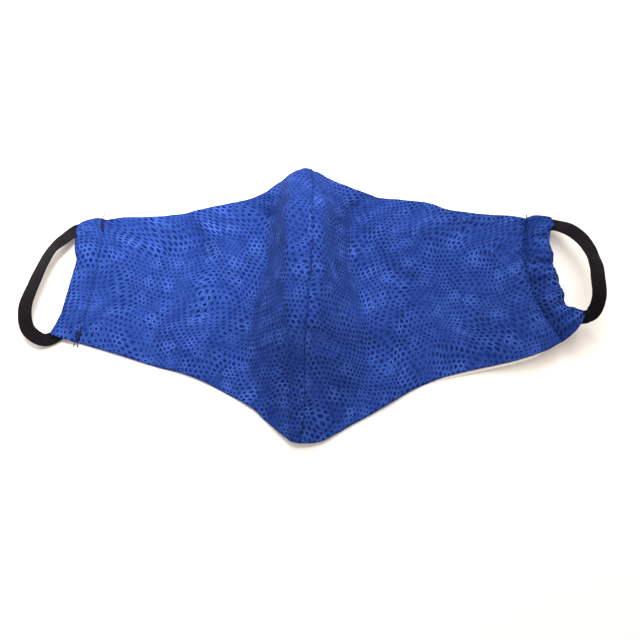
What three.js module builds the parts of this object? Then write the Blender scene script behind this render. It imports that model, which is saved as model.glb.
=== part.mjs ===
// Fitted cloth face mask, lying open on a table with its lining down.
// Two shaped cloth panels meet along a curved seam, which makes them stand up
// as a ridge over the nose and mouth. A white lining lies inside them. At each
// side the cloth is folded into a casing, and a flat elastic loop runs through
// it. Units are millimetres. X runs across the face, Y from the chin to the
// nose, and Z up from the table. The pieces are shaped round the seam, and the
// whole is then moved so that the middle of its footprint is the origin.

import * as THREE from "three";

// Cloth, and the room that separate pieces leave each other
const clothWall = 1.0;
const liningWall = 1.0;
const gap = 0.3;

// Outline of the spread cloth, from a datum line across the cheeks
const leftSpan = 104; // seam to the left stitch line
const rightSpan = 116; // seam to the right stitch line
const noseUp = 76; // datum to the nose hem
const chinDown = 63; // datum to the chin hem
const seamSway = 4.7; // how far the seam wanders sideways

// The ridge that the curved seam raises
const ridgeRise = 35.7; // above the cloth that lies flat
const ridgeReach = 30; // seam to the foot of the flank
const flankRadius = 6; // of the bends at the crest and the foot
const cheekReach = 42; // foot of the flank to where the cloth lies flat
const foldHeight = 2; // of a full soft fold
const foldWidth = 6; // from a fold's line to where it has faded
const cornerLift = 8; // how far the right side curls up off the table

// Ear elastic and the casing that it runs through
const elasticWidth = 6.2;
const elasticThickness = 1.0;
const channelEase = 0.6; // beside the band, inside the casing
const channelRise = 1.1; // over and under the band, inside the casing
const mouthEase = 3; // from the band to the end of the fold, where it comes out
const loopReach = 25; // of the free loop, from the stitch line
const loopLift = 17; // of the free loop, over the casing
const gatherDepth = 0.8; // of the scallops along the fold
const gatherPuff = 1.1; // of the same gathers, upwards
const liningPeek = 1.6; // of the lining, past the right lower hem

// Facets
const panelColumns = 24;
const columnCrowding = 1.25; // brings the columns closer together at the ridge
const panelRows = 14;
const casingRows = 2 * panelRows;
const loopSteps = 72;

// Sizes that follow
const stack = clothWall + gap + liningWall;
const casingSnug = elasticWidth + 2 * (channelEase + clothWall);
const casingLoft = elasticThickness + 2 * (channelRise + clothWall);
const bandInset = channelEase + elasticWidth / 2;

// Stations up the seam, from the chin hem to the nose hem. rise and cheek are
// shares of ridgeRise, sway of seamSway, and the rest of ridgeReach.
const ridge = [
  { up: 0.0, rise: 0.05, sway: -0.21, cheek: 0, crestLeft: 0.1, footLeft: 0.6, crestRight: 0.01, footRight: 0.6 },
  { up: 0.1, rise: 0.24, sway: 0.11, cheek: 0.02, crestLeft: 0.12, footLeft: 0.84, crestRight: 0.01, footRight: 0.84 },
  { up: 0.2, rise: 0.48, sway: 0.16, cheek: 0.05, crestLeft: 0.12, footLeft: 1.0, crestRight: 0.02, footRight: 1.07 },
  { up: 0.28, rise: 0.7, sway: 0.2, cheek: 0.08, crestLeft: 0.13, footLeft: 1.06, crestRight: 0.04, footRight: 1.18 },
  { up: 0.36, rise: 0.89, sway: 0.42, cheek: 0.1, crestLeft: 0.16, footLeft: 1.06, crestRight: 0.04, footRight: 1.14 },
  { up: 0.46, rise: 0.97, sway: 0.64, cheek: 0.12, crestLeft: 0.19, footLeft: 0.99, crestRight: 0.05, footRight: 1.03 },
  { up: 0.57, rise: 1.0, sway: 0.87, cheek: 0.13, crestLeft: 0.22, footLeft: 0.91, crestRight: 0.05, footRight: 0.9 },
  { up: 0.68, rise: 0.97, sway: 1.0, cheek: 0.14, crestLeft: 0.24, footLeft: 0.87, crestRight: 0.05, footRight: 0.82 },
  { up: 0.8, rise: 0.87, sway: 0.98, cheek: 0.14, crestLeft: 0.24, footLeft: 0.86, crestRight: 0.07, footRight: 0.8 },
  { up: 0.9, rise: 0.69, sway: 0.96, cheek: 0.12, crestLeft: 0.24, footLeft: 0.91, crestRight: 0.05, footRight: 0.84 },
  { up: 1.0, rise: 0.42, sway: 0.92, cheek: 0.08, crestLeft: 0.24, footLeft: 1.15, crestRight: 0.04, footRight: 1.2 },
];

// Each half has its hems, as shares of noseUp and chinDown; its stitch line,
// with out as a share of the half's span and lift of cornerLift; the fold of
// its casing, in shares of casingSnug; and its soft folds, across and up the
// half, with height as a share of foldHeight and width of foldWidth.
// Its elastic leaves the casing at two exits, where turn is how many degrees it
// has turned by the fold, and inset a share of bandInset from the lip. The free
// loop then runs from the upper exit to the lower one, with along as a share of
// the stitch line, out of loopReach, lift of loopLift, and roll in degrees.
const left = {
  name: "left",
  sign: -1,
  span: leftSpan,
  hems: [
    { across: 0.0, top: 0.987, bottom: 1.0 },
    { across: 0.04, top: 1.0, bottom: 0.985 },
    { across: 0.07, top: 0.997, bottom: 0.951 },
    { across: 0.1, top: 0.981, bottom: 0.908 },
    { across: 0.16, top: 0.929, bottom: 0.81 },
    { across: 0.19, top: 0.902, bottom: 0.753 },
    { across: 0.24, top: 0.871, bottom: 0.692 },
    { across: 0.33, top: 0.847, bottom: 0.604 },
    { across: 0.44, top: 0.818, bottom: 0.505 },
    { across: 0.54, top: 0.79, bottom: 0.44 },
    { across: 0.65, top: 0.759, bottom: 0.39 },
    { across: 0.8, top: 0.739, bottom: 0.306 },
    { across: 1.0, top: 0.724, bottom: 0.2 },
  ],
  stitch: [
    { up: 0.0, out: 1.064, lift: 0.0 },
    { up: 0.4, out: 1.03, lift: 0.0 },
    { up: 0.7, out: 1.012, lift: 0.03 },
    { up: 1.0, out: 1.0, lift: 0.1 },
  ],
  fold: [
    { along: 0.0, out: 1.45, slide: 0.2 },
    { along: 0.1, out: 1.3, slide: 0.1 },
    { along: 0.2, out: 1.1, slide: 0.0 },
    { along: 0.38, out: 1.1, slide: 0.0 },
    { along: 0.56, out: 1.09, slide: 0.0 },
    { along: 0.64, out: 1.06, slide: 0.0 },
    { along: 0.72, out: 1.23, slide: -0.02 },
    { along: 0.88, out: 1.38, slide: -0.15 },
    { along: 1.0, out: 1.33, slide: -0.5 },
  ],
  gathers: { count: 2, share: 0.35 },
  softFolds: [
    { across: 0.22, up: 0.47, toAcross: 0.3, toUp: 0.2, height: -0.6, width: 0.9 },
    { across: 0.52, up: 0.95, toAcross: 0.3, toUp: 0.6, height: 0.6, width: 1.2 },
    { across: 0.3, up: 0.12, toAcross: 0.4, toUp: 0.5, height: 0.5, width: 1.1 },
  ],
  exits: [
    { end: 0, turn: 62, inset: -0.75 },
    { end: 1, turn: 108, inset: 1.0 },
  ],
  loop: [
    { along: 0.79, out: 0.82, lift: 0.2, roll: 8 },
    { along: 0.63, out: 0.96, lift: 0.42, roll: 4 },
    { along: 0.39, out: 1.03, lift: 0.6, roll: 0 },
    { along: 0.18, out: 1.04, lift: 0.6, roll: 0 },
    { along: 0.05, out: 0.98, lift: 0.5, roll: 4 },
    { along: -0.02, out: 0.82, lift: 0.3, roll: 8 },
  ],
  peek: 0,
};
const right = {
  name: "right",
  sign: 1,
  span: rightSpan,
  hems: [
    { across: 0.0, top: 0.987, bottom: 1.0 },
    { across: 0.04, top: 0.969, bottom: 0.993 },
    { across: 0.08, top: 0.95, bottom: 0.97 },
    { across: 0.13, top: 0.929, bottom: 0.914 },
    { across: 0.19, top: 0.907, bottom: 0.845 },
    { across: 0.24, top: 0.89, bottom: 0.794 },
    { across: 0.33, top: 0.868, bottom: 0.688 },
    { across: 0.44, top: 0.857, bottom: 0.557 },
    { across: 0.54, top: 0.848, bottom: 0.476 },
    { across: 0.65, top: 0.791, bottom: 0.403 },
    { across: 0.8, top: 0.751, bottom: 0.329 },
    { across: 0.92, top: 0.736, bottom: 0.278 },
    { across: 1.0, top: 0.727, bottom: 0.21 },
  ],
  stitch: [
    { up: 0.0, out: 1.098, lift: 1.0 },
    { up: 0.2, out: 1.035, lift: 0.75 },
    { up: 0.36, out: 1.0, lift: 0.62 },
    { up: 0.58, out: 0.985, lift: 0.5 },
    { up: 0.8, out: 0.99, lift: 0.35 },
    { up: 1.0, out: 1.0, lift: 0.3 },
  ],
  fold: [
    { along: 0.0, out: 1.53, slide: 0.5 },
    { along: 0.08, out: 1.31, slide: 0.2 },
    { along: 0.17, out: 1.02, slide: 0.03 },
    { along: 0.28, out: 1.06, slide: 0.0 },
    { along: 0.42, out: 1.12, slide: 0.0 },
    { along: 0.62, out: 1.06, slide: 0.0 },
    { along: 0.84, out: 1.06, slide: 0.0 },
    { along: 0.93, out: 1.32, slide: -0.05 },
    { along: 1.0, out: 1.3, slide: -0.1 },
  ],
  gathers: { count: 5, share: 1 },
  softFolds: [
    { across: 0.26, up: 0.93, toAcross: 0.46, toUp: 0.6, height: 0.9, width: 0.9 },
    { across: 0.24, up: 0.8, toAcross: 0.38, toUp: 0.55, height: -0.7, width: 1.0 },
    { across: 0.5, up: 0.35, toAcross: 0.48, toUp: 0.1, height: 0.6, width: 1.0 },
    { across: 0.64, up: 0.7, toAcross: 0.66, toUp: 0.2, height: 0.7, width: 0.8 },
    { across: 0.06, up: 0.32, toAcross: 0.3, toUp: 0.26, height: -1.0, width: 1.3 },
  ],
  exits: [
    { end: 0, turn: 75, inset: -0.2 },
    { end: 1, turn: 100, inset: 0.9 },
  ],
  loop: [
    { along: 0.9, out: 0.76, lift: 0.2, roll: 12 },
    { along: 0.8, out: 0.93, lift: 0.42, roll: 26 },
    { along: 0.65, out: 1.07, lift: 0.66, roll: 46 },
    { along: 0.47, out: 1.08, lift: 0.84, roll: 24 },
    { along: 0.25, out: 1.0, lift: 0.86, roll: 6 },
    { along: 0.11, out: 0.86, lift: 0.64, roll: 0 },
    { along: 0.05, out: 0.74, lift: 0.34, roll: 0 },
  ],
  peek: liningPeek,
};

const clamp = THREE.MathUtils.clamp;
const mix = THREE.MathUtils.lerp;
const easeInOut = (t) => THREE.MathUtils.smoothstep(t, 0, 1);

// A table's column at a value of its key column, on a smooth curve through the
// rows that never runs past them.
function read(rows, key, column, at) {
  const last = rows.length - 1;
  const place = clamp(at, rows[0][key], rows[last][key]);
  let i = 0;
  while (i < last - 1 && rows[i + 1][key] < place) i++;
  const slopeOf = (k) => (rows[k + 1][column] - rows[k][column]) / (rows[k + 1][key] - rows[k][key]);
  const tangentAt = (k) => {
    if (k === 0) return slopeOf(0);
    if (k === last) return slopeOf(last - 1);
    const before = slopeOf(k - 1);
    const after = slopeOf(k);
    return before * after <= 0 ? 0 : (2 * before * after) / (before + after);
  };
  const width = rows[i + 1][key] - rows[i][key];
  const t = (place - rows[i][key]) / width;
  const a = rows[i][column];
  const b = rows[i + 1][column];
  const bend = t * (1 - t);
  return (
    mix(a, b, t * t * (3 - 2 * t)) + bend * width * ((1 - t) * tangentAt(i) - t * tangentAt(i + 1))
  );
}

// One half's flank at a height up the seam: a level crest, a bend, a straight
// wall, a bend at the foot, and the cheek beyond.
function flankAt(half, up) {
  const side = half.sign < 0 ? "Left" : "Right";
  const crest = ridgeReach * read(ridge, "up", "crest" + side, up);
  const foot = ridgeReach * read(ridge, "up", "foot" + side, up);
  const cheek = ridgeRise * read(ridge, "up", "cheek", up);
  const drop = ridgeRise * read(ridge, "up", "rise", up) - cheek;
  const reach = foot - crest;
  const beyond = drop - 2 * flankRadius;
  const wall = Math.sqrt(Math.max(0, beyond ** 2 + reach ** 2 - 4 * flankRadius ** 2));
  const angle = Math.atan2(beyond, reach) + Math.atan2(2 * flankRadius, wall);
  return { crest, foot, cheek, drop, wall, angle, bend: flankRadius * angle };
}

// How far out and how high the section is at a length along it from the seam.
function alongFlank(flank, length) {
  const { crest, foot, cheek, drop, wall, angle, bend } = flank;
  const top = cheek + drop;
  if (length <= crest) return { out: length, high: top };
  let rest = length - crest;
  if (rest <= bend) {
    const turned = rest / flankRadius;
    return {
      out: crest + flankRadius * Math.sin(turned),
      high: top - flankRadius * (1 - Math.cos(turned)),
    };
  }
  rest -= bend;
  if (rest <= wall) {
    return {
      out: crest + flankRadius * Math.sin(angle) + rest * Math.cos(angle),
      high: top - flankRadius * (1 - Math.cos(angle)) - rest * Math.sin(angle),
    };
  }
  rest -= wall;
  if (rest <= bend) {
    const left = angle - rest / flankRadius;
    return {
      out: foot - flankRadius * Math.sin(left),
      high: cheek + flankRadius * (1 - Math.cos(left)),
    };
  }
  rest -= bend;
  return { out: foot + rest, high: cheek * (1 - easeInOut(rest / cheekReach)) };
}

// The height that a half's soft folds add at a place on it.
function softFold(half, across, up, heightHere) {
  let added = 0;
  for (const fold of half.softFolds) {
    const run = new THREE.Vector2(
      (fold.toAcross - fold.across) * half.span,
      (fold.toUp - fold.up) * heightHere,
    );
    const off = new THREE.Vector2(
      (across - fold.across) * half.span,
      (up - fold.up) * heightHere,
    );
    const share = clamp(off.dot(run) / run.lengthSq(), 0, 1);
    const away = off.addScaledVector(run, -share).length() / (foldWidth * fold.width);
    added += foldHeight * fold.height * Math.exp(-2 * away * away);
  }
  return added;
}

// A point on the face of the outer cloth. across runs from the seam to the
// stitch line along the cloth, and up from the chin side's hem to the nose's.
function clothPoint(half, across, up) {
  const flank = flankAt(half, up);
  const stitchOut = half.span * read(half.stitch, "up", "out", up) - gap / 2;
  const length = flank.crest + 2 * flank.bend + flank.wall + stitchOut - flank.foot;
  const { out, high } = alongFlank(flank, length * across);
  const share = out / stitchOut;
  const top = noseUp * read(half.hems, "across", "top", share);
  const bottom = -chinDown * read(half.hems, "across", "bottom", share);
  const lift = cornerLift * read(half.stitch, "up", "lift", up) * easeInOut((share - 0.6) / 0.4);
  const folded = softFold(half, share, up, top - bottom) * easeInOut(share / 0.08);
  return new THREE.Vector3(
    seamSway * read(ridge, "up", "sway", up) * (1 - share) + half.sign * (gap / 2 + out),
    mix(bottom, top, up),
    stack + Math.max(0, high + folded) + lift,
  );
}

// The outward normal of the cloth's face there.
function clothNormal(half, across, up) {
  const step = 1e-3;
  const [a0, a1] = [Math.max(0, across - step), Math.min(1, across + step)];
  const [u0, u1] = [Math.max(0, up - step), Math.min(1, up + step)];
  const over = clothPoint(half, a1, up).sub(clothPoint(half, a0, up));
  const upward = clothPoint(half, across, u1).sub(clothPoint(half, across, u0));
  const normal = over.cross(upward).multiplyScalar(half.sign);
  if (across === 0) normal.x = 0; // both halves share one direction at the seam
  if (across === 1) normal.set(0, 0, 1);
  return normal.normalize();
}

// A closed mesh from points and triangles, turned to face outwards.
function solid(name, points, triangles, material) {
  let volume = 0;
  for (const [a, b, c] of triangles) {
    volume += points[a].dot(points[b].clone().cross(points[c])) / 6;
  }
  const facing = volume < 0 ? triangles.map(([a, b, c]) => [a, c, b]) : triangles;
  const geometry = new THREE.BufferGeometry();
  geometry.setFromPoints(points);
  geometry.setIndex(facing.flat());
  geometry.computeVertexNormals();
  const mesh = new THREE.Mesh(geometry, material);
  mesh.name = name;
  return mesh;
}

// A sheet of cloth between two depths under the face of one half. peekAt gives
// how far its lower hem stands past the outer cloth's.
function sheet(name, half, top, bottom, material, peekAt) {
  const points = [];
  const triangles = [];
  const at = (layer, i, j) => (layer * (panelRows + 1) + j) * (panelColumns + 1) + i;
  for (const depth of [top, bottom]) {
    for (let j = 0; j <= panelRows; j++) {
      for (let i = 0; i <= panelColumns; i++) {
        const across = (i / panelColumns) ** columnCrowding;
        const up = j / panelRows;
        const point = clothPoint(half, across, up);
        point.addScaledVector(clothNormal(half, across, up), -depth);
        point.y -= peekAt(across) * (1 - up) ** panelRows;
        points.push(point);
      }
    }
  }
  for (let j = 0; j < panelRows; j++) {
    for (let i = 0; i < panelColumns; i++) {
      for (const layer of [0, 1]) {
        const [a, b, c, d] = [at(layer, i, j), at(layer, i + 1, j), at(layer, i + 1, j + 1), at(layer, i, j + 1)];
        triangles.push(...(layer === 0 ? [[a, b, c], [a, c, d]] : [[a, c, b], [a, d, c]]));
      }
    }
  }
  const rim = [];
  for (let i = 0; i < panelColumns; i++) rim.push([i, 0]);
  for (let j = 0; j < panelRows; j++) rim.push([panelColumns, j]);
  for (let i = panelColumns; i > 0; i--) rim.push([i, panelRows]);
  for (let j = panelRows; j > 0; j--) rim.push([0, j]);
  rim.forEach(([i, j], k) => {
    const [m, n] = rim[(k + 1) % rim.length];
    const [a, b, c, d] = [at(0, i, j), at(0, m, n), at(1, m, n), at(1, i, j)];
    triangles.push([a, c, b], [a, d, c]);
  });
  return solid(name, points, triangles, material);
}

// The casing's section, walked from the stitch line over the front, round the
// fold and back. out is a share of its depth and high of its loft.
const casingSection = [
  { out: 0.0, high: 0.0, front: 0 },
  { out: 0.0, high: 0.5, front: 1 },
  { out: 0.1, high: 0.7, front: 1 },
  { out: 0.2, high: 0.88, front: 1 },
  { out: 0.38, high: 0.98, front: 1 },
  { out: 0.58, high: 1.0, front: 1 },
  { out: 0.76, high: 0.96, front: 1 },
  { out: 0.88, high: 0.85, front: 1 },
  { out: 0.96, high: 0.68, front: 0.2 },
  { out: 1.0, high: 0.45, front: 0 },
  { out: 0.95, high: 0.18, front: 0 },
  { out: 0.86, high: 0.04, front: 0 },
  { out: 0.7, high: 0.0, front: 0 },
  { out: 0.35, high: 0.0, front: 0 },
];

// The section in millimetres at a depth, with its wall's inner side.
function casingRing(depth, loft) {
  const outer = casingSection.map((row) => new THREE.Vector2(row.out * depth, row.high * loft));
  const count = outer.length;
  const inner = outer.map((point, k) => {
    const before = point.clone().sub(outer[(k + count - 1) % count]).normalize();
    const after = outer[(k + 1) % count].clone().sub(point).normalize();
    const inward = new THREE.Vector2(before.y + after.y, -before.x - after.x).normalize();
    const miter = clothWall / Math.max(0.5, inward.dot(new THREE.Vector2(after.y, -after.x)));
    return point.clone().addScaledVector(inward, miter);
  });
  return { outer, inner };
}

// A place beside the stitch line: out from it, slid along it, and above the
// underside of the cloth there. Past the line's ends it runs straight on.
function besideStitch(half, along, out, slide, high) {
  const step = 1e-3;
  const length = clothPoint(half, 1, 1).distanceTo(clothPoint(half, 1, 0));
  const wanted = along + slide / length;
  const inside = clamp(wanted, 0, 1);
  const place = clothPoint(half, 1, inside);
  const upward = clothPoint(half, 1, Math.min(1, inside + step));
  upward.sub(clothPoint(half, 1, Math.max(0, inside - step))).setZ(0).normalize();
  const outward = new THREE.Vector3(half.sign * upward.y, -half.sign * upward.x, 0);
  place.addScaledVector(outward, out);
  place.addScaledVector(upward, (wanted - inside) * length);
  place.z += high - stack;
  return place;
}

// How deep and how puffed the casing is there, with its gathers.
function casingSize(half, along) {
  const { count, share } = half.gathers;
  const gather = (share * (1 - Math.cos(2 * Math.PI * count * along))) / 2;
  const fromMouths = 1 - Math.abs(2 * along - 1) ** 5;
  return {
    depth: casingSnug * read(half.fold, "along", "out", along) + gatherDepth * gather,
    loft: casingLoft + gatherPuff * gather * fromMouths,
  };
}

// The casing is a flat tube of cloth. Its fold stops short of its front lip at
// both mouths, where the elastic comes out.
function casing(half, material) {
  const points = [];
  const triangles = [];
  const count = casingSection.length;
  const [lowerShort, upperShort] = half.exits.map(
    (exit) => bandInset * exit.inset + elasticWidth / 2 + mouthEase,
  );
  for (let j = 0; j <= casingRows; j++) {
    const along = j / casingRows;
    const slide = casingSnug * read(half.fold, "along", "slide", along);
    const shortening = mix(lowerShort, -upperShort, along);
    const { depth, loft } = casingSize(half, along);
    const { outer, inner } = casingRing(depth, loft);
    for (const ring of [outer, inner]) {
      ring.forEach((point, k) => {
        const { out, front } = casingSection[k];
        const held = shortening * (1 - front) * easeInOut(out / 0.8);
        points.push(besideStitch(half, along, gap + point.x, slide * out ** 2 + held, point.y));
      });
    }
  }
  const at = (j, layer, k) => (j * 2 + layer) * count + (k % count);
  for (let k = 0; k < count; k++) {
    for (let j = 0; j < casingRows; j++) {
      const [a, b, c, d] = [at(j, 0, k), at(j, 0, k + 1), at(j + 1, 0, k + 1), at(j + 1, 0, k)];
      const [e, f, g, h] = [at(j, 1, k), at(j, 1, k + 1), at(j + 1, 1, k + 1), at(j + 1, 1, k)];
      triangles.push([a, b, c], [a, c, d], [e, g, f], [e, h, g]);
    }
    for (const j of [0, casingRows]) {
      const [a, b, c, d] = [at(j, 0, k), at(j, 0, k + 1), at(j, 1, k + 1), at(j, 1, k)];
      triangles.push(...(j === 0 ? [[a, c, b], [a, d, c]] : [[a, b, c], [a, c, d]]));
    }
  }
  return solid("casing_" + half.name, points, triangles, material);
}

// The rows of the elastic's middle line: up the channel, out of the upper
// mouth, round the ear and in again at the lower one.
function loopRows(half) {
  const bandHigh = clothWall + 1.5 * gap + elasticThickness / 2;
  const channelOut = 1.5 * gap + casingSnug / 2;
  const inCasing = (along, out, slide) => {
    const place = besideStitch(half, along, out, slide, bandHigh);
    const outward = besideStitch(half, along, out + 1, slide, bandHigh).sub(place);
    const upward = besideStitch(half, along, out, slide + 1, bandHigh).sub(place);
    return { place, facing: outward.cross(upward).multiplyScalar(half.sign).normalize(), roll: 0 };
  };
  const rows = [0.3, 0.43, 0.57, 0.7].map((along) => inCasing(along, channelOut, 0));
  // Out of the mouth the band follows an arc that starts in the channel's middle.
  const mouth = ({ end, turn, inset }) => {
    const inward = end === 1 ? -1 : 1;
    const whole = THREE.MathUtils.degToRad(turn);
    const exitOut = gap + casingSize(half, end).depth - clothWall / 2;
    const lip = casingSnug * read(half.fold, "along", "slide", end);
    const radius = (exitOut - channelOut) / (1 - Math.cos(whole));
    return [0, whole / 3, (whole * 2) / 3, whole].map((angle) =>
      inCasing(
        end,
        channelOut + radius * (1 - Math.cos(angle)),
        lip + inward * (bandInset * inset + radius * (Math.sin(whole) - Math.sin(angle))),
      ),
    );
  };
  rows.push(...mouth(half.exits[1]));
  for (const row of half.loop) {
    const place = besideStitch(half, row.along, loopReach * row.out, 0, bandHigh + loopLift * row.lift);
    rows.push({ place, facing: new THREE.Vector3(0, 0, 1), roll: row.roll });
  }
  rows.push(...mouth(half.exits[0]).reverse());
  return rows;
}

// The elastic is one closed flat band, swept round its middle line.
function elastic(half, material) {
  const rows = loopRows(half);
  const line = new THREE.CatmullRomCurve3(rows.map((row) => row.place), true, "centripetal");
  const points = [];
  const triangles = [];
  const corners = [[-1, -1], [1, -1], [1, 1], [-1, 1]];
  for (let j = 0; j < loopSteps; j++) {
    const t = j / loopSteps;
    const place = line.getPoint(t);
    const ahead = line.getTangent(t);
    const row = t * rows.length;
    const first = rows[Math.floor(row) % rows.length];
    const second = rows[(Math.floor(row) + 1) % rows.length];
    const share = easeInOut(row % 1);
    const roll = THREE.MathUtils.degToRad(mix(first.roll, second.roll, share));
    const side = first.facing.clone().lerp(second.facing, share).cross(ahead).normalize();
    side.applyAxisAngle(ahead, roll * half.sign);
    const face = ahead.clone().cross(side).normalize();
    for (const [across, high] of corners) {
      points.push(
        place
          .clone()
          .addScaledVector(side, (across * elasticWidth) / 2)
          .addScaledVector(face, (high * elasticThickness) / 2),
      );
    }
  }
  const at = (j, k) => (j % loopSteps) * 4 + (k % 4);
  for (let j = 0; j < loopSteps; j++) {
    for (let k = 0; k < 4; k++) {
      triangles.push([at(j, k), at(j, k + 1), at(j + 1, k + 1)], [at(j, k), at(j + 1, k + 1), at(j + 1, k)]);
    }
  }
  return solid("ear_elastic_" + half.name, points, triangles, material);
}

const printedCloth = new THREE.MeshStandardMaterial({ color: 0x2b4fae, roughness: 0.85, metalness: 0 });
const liningCloth = new THREE.MeshStandardMaterial({ color: 0xf2efe9, roughness: 0.9, metalness: 0 });
const elasticKnit = new THREE.MeshStandardMaterial({ color: 0x1b1b20, roughness: 0.8, metalness: 0 });

const mask = new THREE.Group();
for (const half of [left, right]) {
  const flush = () => 0;
  const peeking = (across) => half.peek * Math.sin(Math.PI * clamp((across - 0.45) / 0.45, 0, 1)) ** 0.5;
  mask.add(sheet("outer_panel_" + half.name, half, 0, clothWall, printedCloth, flush));
  mask.add(sheet("lining_" + half.name, half, clothWall + gap, stack, liningCloth, peeking));
  mask.add(casing(half, printedCloth));
  mask.add(elastic(half, elasticKnit));
}

// Moves the footprint's middle to the origin and the underside onto the table.
const extent = new THREE.Box3().setFromObject(mask, true);
const middle = extent.getCenter(new THREE.Vector3());
mask.position.set(-middle.x, -middle.y, -extent.min.z);

export default mask;
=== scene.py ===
# Fitted cloth face mask, lying open on a table with its lining down: two printed
# cotton panels sewn along a curved seam, a white lining, and a flat elastic ear
# loop in a casing at each side. Shapes are worked out in millimetres from the
# seam, and laid down in metres in the part's frame.
import math
import bpy
import numpy as np
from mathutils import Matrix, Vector


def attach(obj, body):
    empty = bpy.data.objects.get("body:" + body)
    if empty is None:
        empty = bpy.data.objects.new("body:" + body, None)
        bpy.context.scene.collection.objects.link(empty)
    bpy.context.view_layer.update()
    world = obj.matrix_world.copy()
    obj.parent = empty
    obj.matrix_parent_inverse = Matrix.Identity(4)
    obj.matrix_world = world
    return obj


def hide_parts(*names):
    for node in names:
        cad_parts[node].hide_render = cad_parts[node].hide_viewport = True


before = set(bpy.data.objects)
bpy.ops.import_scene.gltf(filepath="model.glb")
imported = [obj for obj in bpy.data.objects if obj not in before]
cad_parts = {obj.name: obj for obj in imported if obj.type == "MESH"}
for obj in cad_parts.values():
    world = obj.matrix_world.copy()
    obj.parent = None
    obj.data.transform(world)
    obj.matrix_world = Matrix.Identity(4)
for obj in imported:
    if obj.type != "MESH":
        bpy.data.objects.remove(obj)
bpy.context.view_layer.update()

# Camera
# It looks down from close by on the chin side, so the raised ridge leans a
# little away from it. The aim is the middle of the picture on the table.
mm = 0.001
scene = bpy.context.scene
link = scene.collection.objects.link
camera_aim = np.array([4.65, -6.5, 0.0]) * mm
camera_distance = 0.37
camera_elevation = math.radians(70)
camera_data = bpy.data.cameras.new("camera")
camera_data.sensor_width = 36
camera_data.lens = 41.6
camera = bpy.data.objects.new("camera", camera_data)
back = np.array([0.0, -math.cos(camera_elevation), math.sin(camera_elevation)])
camera.location = camera_aim + camera_distance * back
camera.rotation_euler = (math.pi / 2 - camera_elevation, 0, 0)
camera_data.clip_start = 0.01
link(camera)
scene.camera = camera

# Outer panels
# Each half is one piece of printed cotton. The two are sewn right sides
# together along a curve and turned, which raises the ridge over the nose, and
# their hems are turned in over the lining.
seam_place = np.array([-3.546, -6.494, 0.0])  # the seam's datum in the part's frame
cloth_wall = 1.0
cloth_gap = 0.3
lining_wall = 1.0
stack = cloth_wall + cloth_gap + lining_wall
nose_up = 76.0
chin_down = 63.0
seam_sway = 4.7
ridge_rise = 35.7
ridge_reach = 30.0
flank_radius = 6.0
cheek_reach = 42.0
fold_height = 2.0
fold_width = 6.0
corner_lift = 8.0

ridge = {
    "up": (0.0, 0.1, 0.2, 0.28, 0.36, 0.46, 0.57, 0.68, 0.8, 0.9, 1.0),
    "rise": (0.05, 0.24, 0.48, 0.7, 0.89, 0.97, 1.0, 0.97, 0.87, 0.69, 0.42),
    "sway": (-0.21, 0.11, 0.16, 0.2, 0.42, 0.64, 0.87, 1.0, 0.98, 0.96, 0.92),
    "cheek": (0, 0.02, 0.05, 0.08, 0.1, 0.12, 0.13, 0.14, 0.14, 0.12, 0.08),
    "crest_left": (0.1, 0.12, 0.12, 0.13, 0.16, 0.19, 0.22, 0.24, 0.24, 0.24, 0.24),
    "foot_left": (0.6, 0.84, 1.0, 1.06, 1.06, 0.99, 0.91, 0.87, 0.86, 0.91, 1.15),
    "crest_right": (0.01, 0.01, 0.02, 0.04, 0.04, 0.05, 0.05, 0.05, 0.07, 0.05, 0.04),
    "foot_right": (0.6, 0.84, 1.07, 1.18, 1.14, 1.03, 0.9, 0.82, 0.8, 0.84, 1.2),
}
left = {
    "name": "left",
    "sign": -1,
    "span": 104.0,
    "hem": {
        "across": (0.0, 0.04, 0.07, 0.1, 0.16, 0.19, 0.24, 0.33, 0.44, 0.54, 0.65, 0.8, 1.0),
        "top": (0.987, 1.0, 0.997, 0.981, 0.929, 0.902, 0.871, 0.847, 0.818, 0.79, 0.759, 0.739, 0.724),
        "bottom": (1.0, 0.985, 0.951, 0.908, 0.81, 0.753, 0.692, 0.604, 0.505, 0.44, 0.39, 0.306, 0.2),
    },
    "stitch": {
        "up": (0.0, 0.4, 0.7, 1.0),
        "out": (1.064, 1.03, 1.012, 1.0),
        "lift": (0.0, 0.0, 0.03, 0.1),
    },
    # A fold or wrinkle: its line's start and end, across and up, height, width.
    "folds": (
        ((0.23, 0.42), (0.29, 0.18), -0.7, 0.7),
        ((0.62, 0.98), (0.45, 0.66), -0.5, 0.8),
        ((0.52, 0.9), (0.36, 0.62), 0.6, 1.2),
        ((0.5, 0.12), (0.42, 0.24), 0.5, 1.4),
        ((0.92, 0.6), (0.84, 0.86), 0.4, 1.2),
    ),
    "wrinkles": (
        ((0.103, 0.86), (0.1, 0.885), 0.3, 0.2),
        ((0.104, 0.83), (0.085, 0.5), 0.12, 0.3),
        ((0.97, 0.95), (0.86, 0.8), 0.15, 0.3),
        ((0.94, 0.2), (0.85, 0.3), 0.15, 0.35),
    ),
    "peek": 0.0,
    "valley": {"depth": 0.1, "reach": 2.0},
    "stitch_dip": 0.4,  # of the groove along the casing's stitch line
    "allowance": 0.55,  # height of the seam allowance, pressed to this side
    "tug": 0.22,
    "seed": 3,
}
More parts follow.
